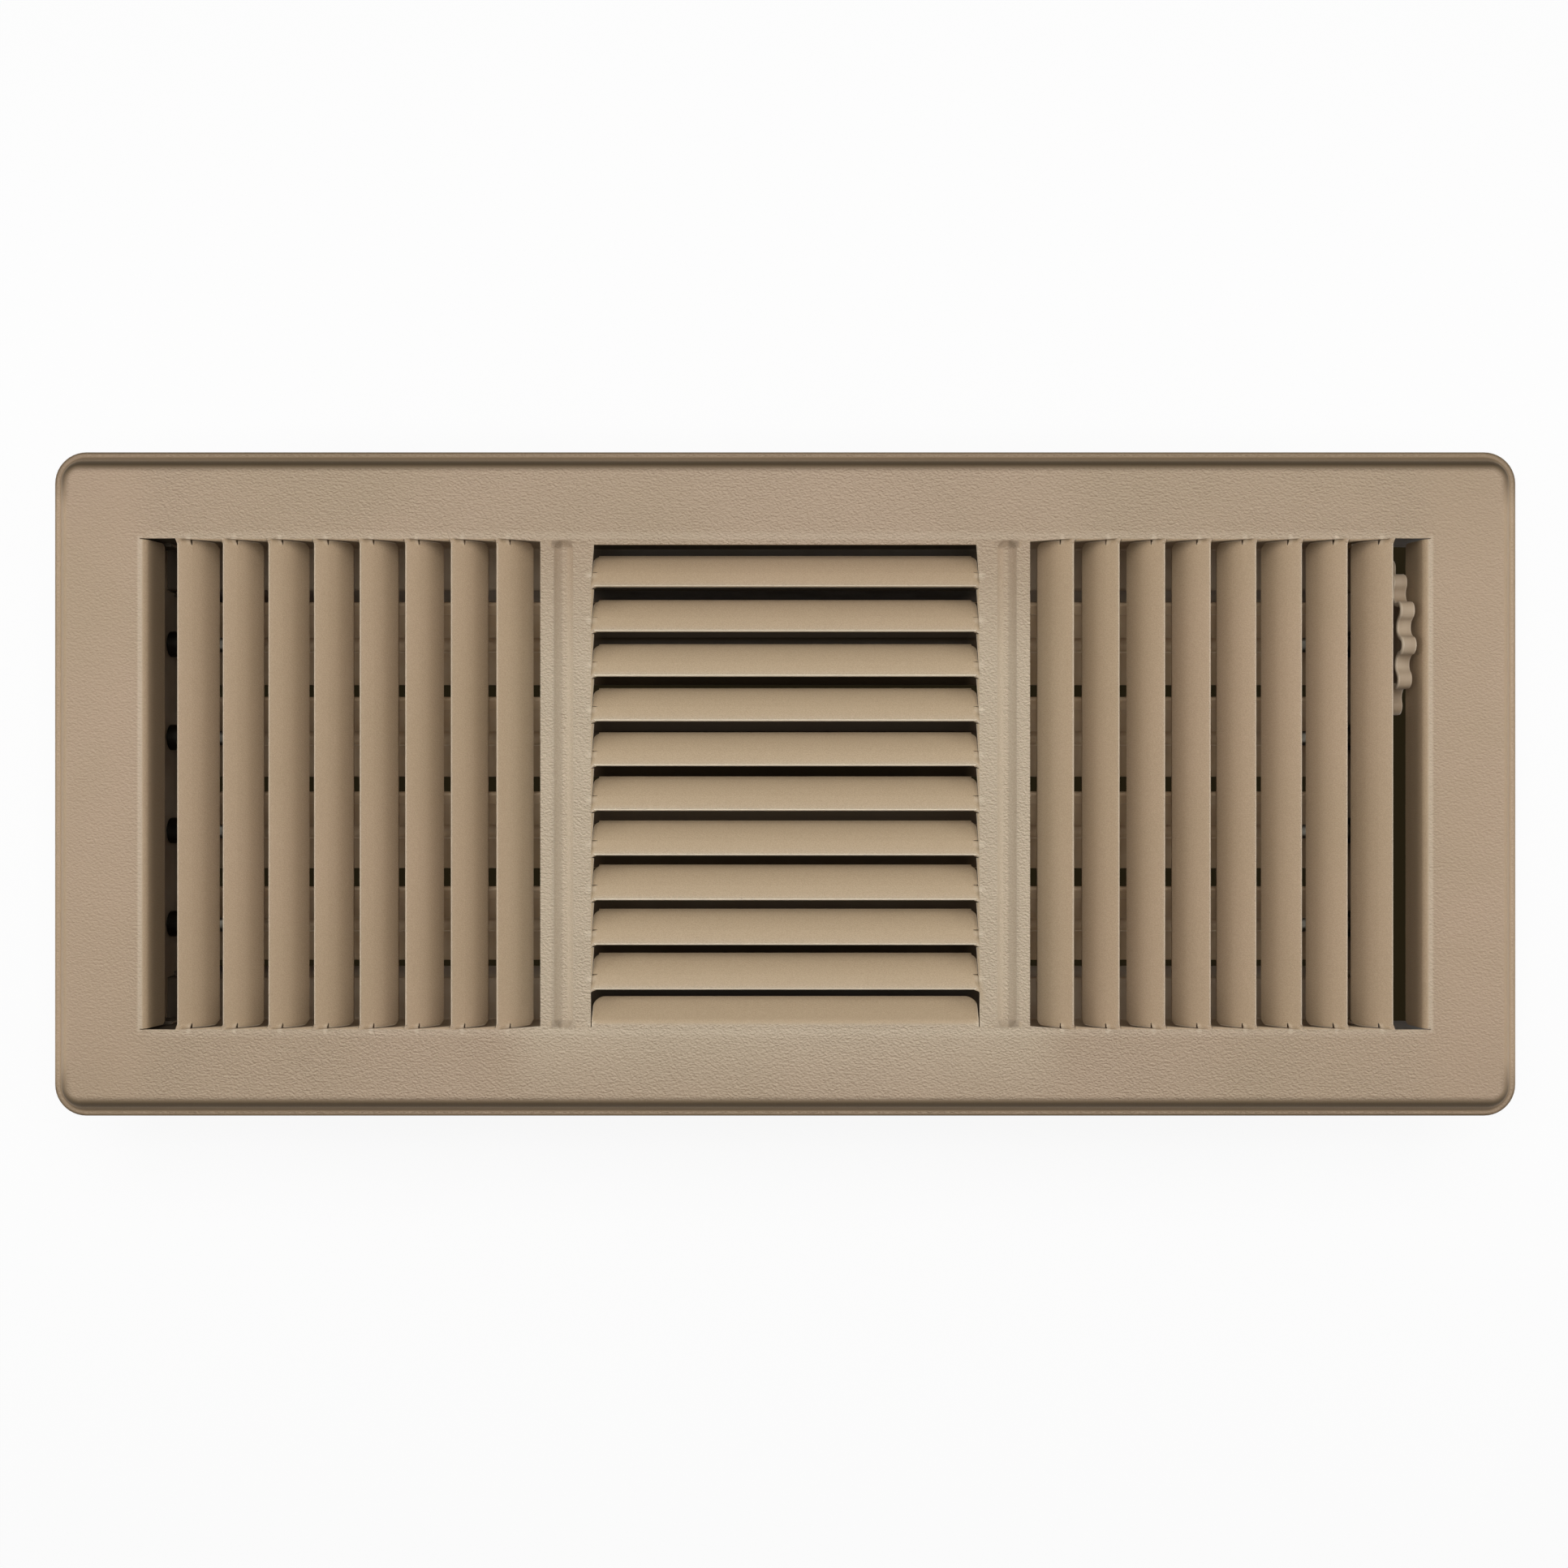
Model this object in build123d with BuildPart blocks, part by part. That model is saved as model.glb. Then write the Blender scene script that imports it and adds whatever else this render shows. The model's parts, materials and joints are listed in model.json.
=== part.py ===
from build123d import *
from dataclasses import dataclass
from math import asin, atan2, cos, degrees, radians, sin, tan
import os

# Three-way louvered floor register for a 4 by 10 inch duct opening, in millimetres.
# X runs along the face, Y across it, Z up. The origin is the centre of the damper box's lower edge.
# One stamped face sheet hangs three banks of vanes. Below it, a folded box carries four damper
# blades that a thumbwheel turns together through crank arms and a tie bar.

# Face sheet
face_sheet = 0.8
rim_drop = 4.2
rim_slant = 60.0
rim_bend = 2.0
rim_cove = 0.8
rim_foot = 1.05
face_corner = 6.0
end_border = 17.55
side_border = 16.95

# Louver field, measured at the top of the face
field_half_width = 46.6
centre_half_length = 36.9
bridge_width = 9.5
side_vanes = 8
side_pitch = 8.65
centre_vanes = 10
centre_top_margin = 1.2
centre_lip_margin = 0.5
lance_kerf = 0.2
slot_end_slant = 0.6
joint_overlap = 0.4

# Vanes: slopes are from the level face, at the raised edge and at the low edge
side_top_slope = 18.0
side_tip_slope = 66.0
side_edge_inset = 0.4
side_neck = 2.7
side_tip_corner = 1.6
centre_top_slope = 14.0
centre_tip_slope = 61.0
centre_edge_inset = 0.6
centre_neck = 3.2
centre_tip_corner = 2.4
neck_length = 1.1
neck_slit = 0.15
vane_end_gap = 0.25

# Bent-down lips that close each bank
side_lip_strip = 6.75
side_lip_bend = 78.0
side_lip_radius = 1.4
side_lip_flat = 5.1
side_lip_corner = 1.0
centre_lip_strip = 6.6
centre_lip_bend = 42.0
centre_lip_radius = 2.4
centre_lip_flat = 5.1
centre_lip_corner = 2.4
lip_end_gap = 0.2

# Stiffening beads between the banks
bead_offset = 5.1
bead_end_margin = 0.3
bead_width = 3.8
bead_depth = 0.9

# Damper box
wall_sheet = 0.7
wall_bend = 0.6
wall_gap_side = 0.4
wall_gap_end = 0.55
flange_reach = 8.0
ledge_width = 8.4
ledge_rise = 0.3
blade_side_gap = 1.1
corner_tab = 3.2
tab_margin = 2.0
wall_fit = 0.05
right_wall_headroom = 1.0

# Damper blades
blade_count = 4
blade_sheet = 0.6
blade_lap = 0.6
blade_hem = 2.5
hem_round = 0.54
blade_headroom = 1.0
blade_lip_clearance = 1.4
rest_tilt = 35.0
middle_tilt = 46.5

# Pivots and linkage
pin_radius = 1.6
pin_grip = 12.0
pin_end = 1.0
pin_collar_radius = 2.6
seat_fit = 0.02
running_fit = 0.08
end_play = 0.3
crank_radius = 7.0
crank_sheet = 1.0
crank_boss_radius = 3.4
crank_tip_radius = 2.6
tie_bar_sheet = 1.0
tie_bar_half_width = 2.4
rivet_radius = 1.2
rivet_head_radius = 2.2
rivet_head = 0.45
rivet_chamfer = 0.2
rivet_play = 0.1

# Thumbwheel
wheel_proud = 0.5
wheel_lobes = 14
wheel_lobe_radius = 1.8
wheel_valley_depth = 2.7
wheel_rim_width = 2.8
wheel_wall = 0.9
wheel_turn_at_rest = 5.8
wheel_lip_gap = 0.3
wheel_floor_gap = 2.9
hub_radius = 3.4
hub_standoff = 1.8
washer_height = 0.8
washer_sheet = 0.4
washer_radius = 4.6
nut_radius = 3.8
nut_sheet = 0.5
nut_boss_radius = 2.5
nut_boss = 0.4
axle_end = 0.8


@dataclass
class Bank:
    """A run of vanes along u, hung between two slot ends at plus and minus half_length along v."""

    vanes: int
    pitch: float
    half_length: float
    top_slope: float
    tip_slope: float
    edge_inset: float
    neck: float
    tip_corner: float
    lip_strip: float
    lip_bend: float
    lip_radius: float
    lip_flat: float
    lip_corner: float

    @property
    def bow_radius(self):
        return (self.pitch - lance_kerf) / radians(self.tip_slope - self.top_slope)

    @property
    def bow_centre(self):
        slope = radians(self.top_slope)
        return (self.edge_inset - self.bow_radius * sin(slope), -self.bow_radius * cos(slope))

    @property
    def drop(self):
        top = self.bow_radius * (cos(radians(self.top_slope)) - cos(radians(self.tip_slope)))
        return top + face_sheet * cos(radians(self.tip_slope))

    @property
    def lip_reach(self):
        bend = radians(self.lip_bend)
        return self.lip_radius * sin(bend) + self.lip_flat * cos(bend)

    def slope_at(self, reach):
        """Slope of the bowed vane where its upper face is this far from the cut line."""
        run = (reach - self.edge_inset) / self.bow_radius
        return degrees(asin(sin(radians(self.top_slope)) + run))


# Places worked out from the sizes above
centre_top = field_half_width - centre_top_margin
centre_lip_start = field_half_width - centre_lip_margin
centre_pitch = (centre_top + centre_lip_start - centre_lip_strip) / centre_vanes

side_bank = Bank(
    side_vanes, side_pitch, field_half_width, side_top_slope, side_tip_slope, side_edge_inset,
    side_neck, side_tip_corner, side_lip_strip, side_lip_bend, side_lip_radius, side_lip_flat,
    side_lip_corner,
)
centre_bank = Bank(
    centre_vanes, centre_pitch, centre_half_length, centre_top_slope, centre_tip_slope, centre_edge_inset,
    centre_neck, centre_tip_corner, centre_lip_strip, centre_lip_bend, centre_lip_radius, centre_lip_flat,
    centre_lip_corner,
)

side_bank_start = centre_half_length + bridge_width
side_bank_cut = side_bank_start + side_vanes * side_pitch
side_lip_start = side_bank_cut + side_lip_strip
side_lip_tip = side_lip_start - side_bank.lip_reach
bead_x = centre_half_length + bead_offset
bead_radius = (bead_width**2 / 4 + bead_depth**2) / (2 * bead_depth)
bead_reach = field_half_width - bead_end_margin - bead_width / 2

face_length = 2 * (side_lip_start + end_border)
face_width = 2 * (field_half_width + side_border)

wall_in_y = field_half_width + wall_gap_side
skirt_in_y = wall_in_y - ledge_width
blade_pitch = (2 * (skirt_in_y - blade_side_gap) - blade_lap) / blade_count
blade_width = blade_pitch + blade_lap
blade_axes = [(number - (blade_count - 1) / 2) * blade_pitch for number in range(blade_count)]
axis_depth = max(side_bank.drop, centre_bank.drop) + blade_headroom + blade_width / 2
wheel_radius = axis_depth + wheel_proud
axis_z = wheel_radius + wheel_floor_gap
face_top = axis_z + axis_depth
face_under = face_top - face_sheet
rim_bottom = face_top - rim_drop
wheel_y = blade_axes[-1]

ledge_top = axis_z + ledge_rise + wall_sheet / 2
ledge_under = ledge_top - wall_sheet
left_wall_in = -(side_lip_start + wall_gap_end)
left_wall_out = left_wall_in - wall_sheet
right_wall_top = face_top - max(side_bank.drop, centre_bank.drop) - right_wall_headroom

wheel_out = side_lip_tip - wheel_lip_gap
wheel_in = wheel_out - wheel_rim_width
hub_in = wheel_in - hub_standoff
right_wall_out = hub_in - washer_height
right_wall_in = right_wall_out - wall_sheet
rivet_head_out = right_wall_in - end_play
rivet_head_in = rivet_head_out - rivet_head
tie_bar_out = rivet_head_in - rivet_play
tie_bar_in = tie_bar_out - tie_bar_sheet
crank_out = tie_bar_in - end_play
crank_in = crank_out - crank_sheet
blade_right = crank_in - end_play
blade_left = -side_lip_tip + blade_lip_clearance

crank_turn = radians(rest_tilt - middle_tilt)
crank_step = (crank_radius * sin(crank_turn), -crank_radius * cos(crank_turn))

os.makedirs("parts", exist_ok=True)


def bent_strip_face(bank, from_slope, to_slope):
    """Section of the bowed vane between two slopes."""
    with BuildSketch() as section:
        with BuildLine():
            upper = CenterArc(bank.bow_centre, bank.bow_radius, 90 - to_slope, to_slope - from_slope)
            under_radius = bank.bow_radius - face_sheet
            under = CenterArc(bank.bow_centre, under_radius, 90 - to_slope, to_slope - from_slope)
            Line(upper @ 0, under @ 0)
            Line(upper @ 1, under @ 1)
        make_face()
    return section.sketch


def vane(bank):
    """One vane about its own cut line: twisted necks at both ends and a free, round-cornered strip."""
    neck_start = bank.half_length - neck_length
    neck_slope = bank.slope_at(bank.neck)
    free_slope = bank.slope_at(bank.neck + neck_slit)
    free_section = bent_strip_face(bank, free_slope, bank.tip_slope)
    neck_section = bent_strip_face(bank, bank.top_slope, neck_slope)
    full_section = bent_strip_face(bank, bank.top_slope, bank.tip_slope)
    with BuildPart() as strip:
        with BuildSketch(Plane.XZ):
            add(free_section)
        extrude(amount=bank.half_length - vane_end_gap, both=True)
        short_edges = strip.edges().filter_by(lambda edge: abs(edge.length - face_sheet) < 0.001)
        fillet(short_edges.group_by(Axis.Z)[0], bank.tip_corner)
    with BuildPart() as whole:
        with BuildSketch(Plane.XZ.offset(neck_start)):
            add(neck_section)
        with BuildSketch(Plane.XZ.offset(bank.half_length)) as level:
            with Locations((bank.neck / 2, -face_sheet / 2)):
                Rectangle(bank.neck, face_sheet)
        loft(ruled=True)
        extrude(level.sketch, amount=joint_overlap)
        mirror(about=Plane.XZ)
        with BuildSketch(Plane.XZ):
            add(full_section)
        extrude(amount=neck_start, both=True)
        add(strip.part)
    return whole.part


def lip(bank):
    """The strip beyond the first cut line, bent down along the bank's end."""
    bend_centre = (-bank.lip_strip, -bank.lip_radius)
    with BuildPart() as bent:
        with BuildSketch(Plane.XZ):
            with BuildLine():
                root = Line((-bank.lip_strip - joint_overlap, 0), (-bank.lip_strip, 0))
                bend = CenterArc(bend_centre, bank.lip_radius, 90, -bank.lip_bend)
                flat = PolarLine(bend @ 1, bank.lip_flat, -bank.lip_bend)
                tip = PolarLine(flat @ 1, face_sheet, -bank.lip_bend - 90)
                under_flat = PolarLine(tip @ 1, bank.lip_flat, 180 - bank.lip_bend)
                CenterArc(bend_centre, bank.lip_radius - face_sheet, 90 - bank.lip_bend, bank.lip_bend)
                under_root = Line((-bank.lip_strip, -face_sheet), (-bank.lip_strip - joint_overlap, -face_sheet))
                Line(under_root @ 1, root @ 0)
            make_face()
        extrude(amount=bank.half_length - lip_end_gap, both=True)
        short_edges = bent.edges().filter_by(lambda edge: abs(edge.length - face_sheet) < 0.001)
        fillet(short_edges.group_by(Axis.Z)[0], bank.lip_corner)
    return bent.part


def slot_cutter(bank):
    """Opening under a whole bank: its ends step at each cut line and slant from one to the next."""
    far_end = bank.vanes * bank.pitch
    side = [(-bank.lip_strip, bank.half_length)]
    for number in range(bank.vanes):
        side.append((number * bank.pitch, bank.half_length))
        side.append(((number + 1) * bank.pitch, bank.half_length - slot_end_slant))
    with BuildPart() as opening:
        with BuildSketch():
            with BuildLine():
                edge = Polyline(*side)
                mirror(edge, about=Plane.XZ)
                Line((-bank.lip_strip, -bank.half_length), (-bank.lip_strip, bank.half_length))
                end = bank.half_length - slot_end_slant
                Line((far_end, -end), (far_end, end))
            make_face()
        extrude(amount=2 * face_sheet, both=True)
    return opening.part


def pan_outline(inset):
    """Outline of the face, moved inwards by the inset."""
    return RectangleRounded(face_length - 2 * inset, face_width - 2 * inset, face_corner - inset)


def bead_bar(radius):
    """Round-ended bar along Y whose lower side is the bead's channel."""
    bead_axis = face_top + bead_radius - bead_depth
    with BuildPart() as bar:
        with BuildSketch(Plane.XY.offset(bead_axis)):
            SlotCenterToCenter(2 * bead_reach, 2 * radius, rotation=90)
            split(bisect_by=Plane.YZ)
        revolve(axis=Axis((0, 0, bead_axis), (0, 1, 0)))
    return bar.part


# Each bank stands at its first cut line, with its vanes falling away from there
left_place = Location((-side_bank_cut, 0, face_top))
right_place = Location((side_bank_cut, 0, face_top), (0, 0, 180))
centre_place = Location((0, centre_lip_strip - centre_lip_start, face_top), (0, 0, 90))
side_cutter = slot_cutter(side_bank)
centre_cutter = slot_cutter(centre_bank)
side_vane = vane(side_bank)
centre_vane = vane(centre_bank)
side_lip = lip(side_bank)
centre_lip = lip(centre_bank)
side_steps = [Location((number * side_pitch, 0, 0)) for number in range(side_vanes)]
centre_steps = [Location((number * centre_pitch, 0, 0)) for number in range(centre_vanes)]

# Room under the pan: its wall keeps one sheet's thickness inside the slanted rim
with BuildPart() as pan_room:
    with BuildSketch(Plane.XY.offset(rim_bottom)):
        pan_outline(rim_foot + face_sheet * tan(radians(rim_slant / 2)))
    extrude(amount=rim_drop - face_sheet, taper=90 - rim_slant)
    fillet(pan_room.faces().sort_by(Axis.Z)[-1].edges(), rim_bend - face_sheet)

# Underside of a bead, below the flat sheet
with BuildPart() as bead_under:
    add(bead_bar(bead_radius + face_sheet))
    split(bisect_by=Plane.XY.offset(face_under), keep=Keep.BOTTOM)
bead_channel = bead_bar(bead_radius)
bead_places = Locations((-bead_x, 0), (bead_x, 0))

# Face plate: the pan with its slanted rim and foot, the beads, the openings, then the vanes and lips
with BuildPart() as faceplate:
    foot_top = rim_bottom + face_sheet
    with BuildSketch(Plane.XY.offset(rim_bottom)):
        pan_outline(0)
    extrude(amount=face_sheet)
    with BuildSketch(Plane.XY.offset(foot_top)):
        pan_outline(rim_foot)
    extrude(amount=rim_drop - face_sheet, taper=90 - rim_slant)
    fillet(faceplate.faces().sort_by(Axis.Z)[-1].edges(), rim_bend)
    foot_face = faceplate.faces().filter_by_position(Axis.Z, foot_top, foot_top)[0]
    fillet(foot_face.inner_wires()[0].edges(), rim_cove)
    add(pan_room.part, mode=Mode.SUBTRACT)
    fillet(faceplate.faces().sort_by(Axis.Z)[0].inner_wires()[0].edges(), rim_cove + face_sheet)

    with bead_places:
        add(bead_under.part)
    with bead_places:
        add(bead_channel, mode=Mode.SUBTRACT)

    with Locations(left_place, right_place):
        add(side_cutter, mode=Mode.SUBTRACT)
    with Locations(centre_place):
        add(centre_cutter, mode=Mode.SUBTRACT)
    with Locations(*[place * step for place in (left_place, right_place) for step in side_steps]):
        add(side_vane)
    with Locations(*[centre_place * step for step in centre_steps]):
        add(centre_vane)
    with Locations(left_place, right_place):
        add(side_lip)
    with Locations(centre_place):
        add(centre_lip)
faceplate.part.label = "faceplate"
export_step(faceplate.part, "parts/faceplate.step")

# Side walls: flange under the face, upper wall, ledge beside the blades and lower skirt.
# The ledge and skirt stop at the right end wall and leave the wheel its bay.
flange_end_y = wall_in_y + wall_sheet + flange_reach
with BuildPart() as side_wall_rear:
    with BuildSketch(Plane.YZ.offset(left_wall_out)):
        with BuildLine():
            fold = FilletPolyline(
                (flange_end_y, face_under),
                (wall_in_y, face_under),
                (wall_in_y, ledge_top),
                (skirt_in_y, ledge_top),
                (skirt_in_y, 0),
                radius=wall_bend,
            )
            offset(fold, amount=wall_sheet, side=Side.LEFT)
        make_face()
    extrude(amount=-2 * left_wall_out)
    bay_top = ledge_top + wall_sheet + wall_bend
    with BuildSketch(Plane.YZ.offset(right_wall_out)):
        with Locations((wall_in_y + wall_sheet, 0)):
            Rectangle(flange_end_y, bay_top, align=(Align.CENTER, Align.MIN))
    extrude(amount=-2 * left_wall_out, mode=Mode.SUBTRACT)
side_wall_rear.part.label = "side_wall_rear"
export_step(side_wall_rear.part, "parts/side_wall_rear.step")

with BuildPart() as side_wall_front:
    add(mirror(side_wall_rear.part, about=Plane.XZ, mode=Mode.PRIVATE))
side_wall_front.part.label = "side_wall_front"
export_step(side_wall_front.part, "parts/side_wall_front.step")


def end_plate(top):
    """Sketch of an end wall on its own plane: wide above the ledge, narrow beside the skirt."""
    with Locations((0, 0)):
        Rectangle(2 * (skirt_in_y - wall_fit), top, align=(Align.CENTER, Align.MIN))
    relief = ledge_top + wall_bend + wall_fit
    with Locations((0, relief)):
        Rectangle(2 * (wall_in_y - wall_fit), top - relief, align=(Align.CENTER, Align.MIN))


def tab_sketch():
    """Sketch of the four corner tabs that lie against the side walls, below the louvers."""
    upper_height = right_wall_top - ledge_top - 2 * tab_margin
    lower_height = ledge_under - 2 * tab_margin
    for side in (-1, 1):
        with Locations((side * (wall_in_y - wall_fit - wall_sheet / 2), ledge_top + tab_margin)):
            Rectangle(wall_sheet, upper_height, align=(Align.CENTER, Align.MIN))
        with Locations((side * (skirt_in_y - wall_fit - wall_sheet / 2), tab_margin)):
            Rectangle(wall_sheet, lower_height, align=(Align.CENTER, Align.MIN))


pivot_places = [(axis_y, axis_z) for axis_y in blade_axes]

# Left end wall, with its flange under the face
with BuildPart() as end_wall_left:
    with BuildSketch(Plane.YZ.offset(left_wall_out)):
        end_plate(face_under)
        with Locations(*pivot_places):
            Circle(pin_radius + running_fit, mode=Mode.SUBTRACT)
    extrude(amount=wall_sheet)
    with BuildSketch(Plane.YZ.offset(left_wall_in)):
        tab_sketch()
    extrude(amount=corner_tab)
    with BuildSketch(Plane.XY.offset(face_under)):
        with Locations((left_wall_in, 0)):
            Rectangle(
                flange_reach + wall_sheet, 2 * (wall_in_y - wall_fit), align=(Align.MAX, Align.CENTER)
            )
    extrude(amount=-wall_sheet)
    bend_edges = end_wall_left.edges().filter_by(Axis.Y).filter_by_position(Axis.Z, face_under, face_under)
    fillet(bend_edges.sort_by(Axis.X)[-1], wall_bend)
end_wall_left.part.label = "end_wall_left"
export_step(end_wall_left.part, "parts/end_wall_left.step")

# Right end wall, below the louvers, with the wheel outside it
with BuildPart() as end_wall_right:
    with BuildSketch(Plane.YZ.offset(right_wall_in)):
        end_plate(right_wall_top)
        with Locations(*pivot_places):
            Circle(pin_radius + running_fit, mode=Mode.SUBTRACT)
    extrude(amount=wall_sheet)
    with BuildSketch(Plane.YZ.offset(right_wall_in)):
        tab_sketch()
    extrude(amount=-corner_tab)
end_wall_right.part.label = "end_wall_right"
export_step(end_wall_right.part, "parts/end_wall_right.step")


def turned(steps, axis_y):
    """A turned pin along X from (start, end, radius) steps."""
    with BuildPart() as pin:
        for start, end, radius in steps:
            with BuildSketch(Plane.YZ.offset(start)):
                with Locations((axis_y, axis_z)):
                    Circle(radius)
            extrude(amount=end - start)
    return pin


blade_half = blade_width / 2
trough_radius = pin_radius + seat_fit

for number, axis_y in enumerate(blade_axes, start=1):
    tilt = radians(rest_tilt)
    blade_plane = Plane(origin=(blade_left, axis_y, axis_z), x_dir=(0, cos(tilt), sin(tilt)), z_dir=(1, 0, 0))

    # Blade: two wings, a half-round trough for the pins and a folded hem along each edge
    with BuildPart() as blade:
        with BuildSketch(blade_plane) as section:
            Circle(trough_radius + blade_sheet)
            with Locations((0, trough_radius + blade_sheet)):
                Rectangle(blade_width, 2 * (trough_radius + blade_sheet), mode=Mode.SUBTRACT)
            Rectangle(blade_width, blade_sheet)
            Circle(trough_radius, mode=Mode.SUBTRACT)
            with Locations((blade_half - blade_hem / 2, blade_sheet), (blade_hem / 2 - blade_half, -blade_sheet)):
                Rectangle(blade_hem, blade_sheet)
            hem_corners = section.vertices().group_by(Axis.X)
            fillet(hem_corners[0] + hem_corners[-1], hem_round)
        extrude(amount=blade_right - blade_left)
    blade.part.label = f"damper_blade_{number}"
    export_step(blade.part, f"parts/{blade.part.label}.step")

    left_pin = turned(
        [
            (left_wall_out - pin_end, blade_left + pin_grip, pin_radius),
            (left_wall_in + end_play, blade_left - end_play, pin_collar_radius),
        ],
        axis_y,
    )
    left_pin.part.label = f"pivot_pin_left_{number}"
    export_step(left_pin.part, f"parts/{left_pin.part.label}.step")

    # The last right-hand pivot runs on as the wheel's axle
    drives_wheel = number == blade_count
    pin_out = wheel_out + nut_sheet + nut_boss + axle_end if drives_wheel else right_wall_out + pin_end
    right_pin = turned(
        [
            (blade_right - pin_grip, pin_out, pin_radius),
            (rivet_head_in, rivet_head_out, pin_collar_radius),
        ],
        axis_y,
    )
    right_pin.part.label = "wheel_axle" if drives_wheel else f"pivot_pin_right_{number}"
    export_step(right_pin.part, f"parts/{right_pin.part.label}.step")

    # Crank arm: a boss on the pin and a tip round the rivet
    rivet_place = (axis_y + crank_step[0], axis_z + crank_step[1])
    with BuildPart() as crank:
        with BuildSketch(Plane.YZ.offset(crank_in)):
            with Locations((axis_y, axis_z)):
                Circle(crank_boss_radius)
            with Locations(rivet_place):
                Circle(crank_tip_radius)
            make_hull()
            with Locations((axis_y, axis_z)):
                Circle(pin_radius + seat_fit, mode=Mode.SUBTRACT)
            with Locations(rivet_place):
                Circle(rivet_radius + seat_fit, mode=Mode.SUBTRACT)
        extrude(amount=crank_sheet)
    crank.part.label = f"crank_arm_{number}"
    export_step(crank.part, f"parts/{crank.part.label}.step")

    with BuildPart() as rivet:
        with BuildSketch(Plane.YZ.offset(crank_in)):
            with Locations(rivet_place):
                Circle(rivet_radius)
        extrude(amount=rivet_head_in - crank_in)
        with BuildSketch(Plane.YZ.offset(rivet_head_in)):
            with Locations(rivet_place):
                Circle(rivet_head_radius)
        extrude(amount=rivet_head)
        chamfer(rivet.faces().sort_by(Axis.X)[-1].edges(), rivet_chamfer)
    rivet.part.label = f"crank_rivet_{number}"
    export_step(rivet.part, f"parts/{rivet.part.label}.step")

# Tie bar: one flat bar with a running hole for each crank rivet
with BuildPart() as tie_bar:
    with BuildSketch(Plane.YZ.offset(tie_bar_in)):
        with Locations((crank_step[0], axis_z + crank_step[1])):
            SlotCenterToCenter(blade_axes[-1] - blade_axes[0], 2 * tie_bar_half_width)
        with Locations(*[(axis_y + crank_step[0], axis_z + crank_step[1]) for axis_y in blade_axes]):
            Circle(rivet_radius + running_fit, mode=Mode.SUBTRACT)
    extrude(amount=tie_bar_sheet)
tie_bar.part.label = "tie_bar"
export_step(tie_bar.part, "parts/tie_bar.step")


# Rim of the wheel: lobes and valleys are arcs that touch on the line between their centres
lobe_step = 360 / wheel_lobes
lobe_ring = wheel_radius - wheel_lobe_radius
valley_floor = wheel_radius - wheel_valley_depth
midway_reach = lobe_ring * cos(radians(lobe_step / 2))
floor_gap_squared = lobe_ring**2 + valley_floor**2 - 2 * valley_floor * midway_reach
valley_radius = (floor_gap_squared - wheel_lobe_radius**2) / (
    2 * (wheel_lobe_radius - valley_floor + midway_reach)
)
valley_ring = valley_floor + valley_radius
valley_centre = Vector(valley_ring, 0).rotate(Axis.Z, lobe_step / 2)
lobe_swing = degrees(atan2(valley_centre.Y, valley_centre.X - lobe_ring))


def lobed_disc(inset):
    """Outline of the wheel's rim, moved inwards by the inset."""
    with BuildSketch() as outline:
        with BuildLine():
            for number in range(wheel_lobes):
                turn = number * lobe_step + wheel_turn_at_rest
                lobe_place = Vector(lobe_ring, 0).rotate(Axis.Z, turn)
                valley_place = valley_centre.rotate(Axis.Z, turn)
                CenterArc(lobe_place, wheel_lobe_radius - inset, turn - lobe_swing, 2 * lobe_swing)
                valley_start = turn + lobe_swing + 180
                CenterArc(valley_place, valley_radius + inset, valley_start, lobe_step - 2 * lobe_swing)
        make_face()
    return outline.sketch


# Thumbwheel: a lobed cup, open towards the box, with a hub sleeve on the axle
wheel_plane = Plane(origin=(wheel_in, wheel_y, axis_z), x_dir=(0, 0, 1), z_dir=(1, 0, 0))
wheel_outside = lobed_disc(0)
wheel_inside = lobed_disc(wheel_wall)
with BuildPart() as thumbwheel:
    with BuildSketch(wheel_plane):
        add(wheel_outside)
    extrude(amount=wheel_rim_width)
    with BuildSketch(wheel_plane):
        add(wheel_inside)
    extrude(amount=wheel_rim_width - wheel_wall, mode=Mode.SUBTRACT)
    with BuildSketch(wheel_plane.offset(-hub_standoff)):
        Circle(hub_radius)
    extrude(amount=hub_standoff + wheel_rim_width)
    with BuildSketch(wheel_plane.offset(-hub_standoff)):
        Circle(pin_radius + seat_fit)
    extrude(amount=hub_standoff + wheel_rim_width, mode=Mode.SUBTRACT)
thumbwheel.part.label = "thumbwheel"
export_step(thumbwheel.part, "parts/thumbwheel.step")

# Spring washer: a coned ring between the end wall and the wheel's hub
axle_line = Axis((0, wheel_y, axis_z), (1, 0, 0))
with BuildPart() as spring_washer:
    with BuildSketch(Plane.XY.offset(axis_z)):
        inner_y = wheel_y + pin_radius + 2 * running_fit
        outer_y = wheel_y + washer_radius
        cone = washer_height - washer_sheet
        with BuildLine():
            Polyline(
                (right_wall_out, outer_y),
                (right_wall_out + washer_sheet, outer_y),
                (right_wall_out + washer_sheet + cone, inner_y),
                (right_wall_out + cone, inner_y),
                close=True,
            )
        make_face()
    revolve(axis=axle_line)
spring_washer.part.label = "spring_washer"
export_step(spring_washer.part, "parts/spring_washer.step")

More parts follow.
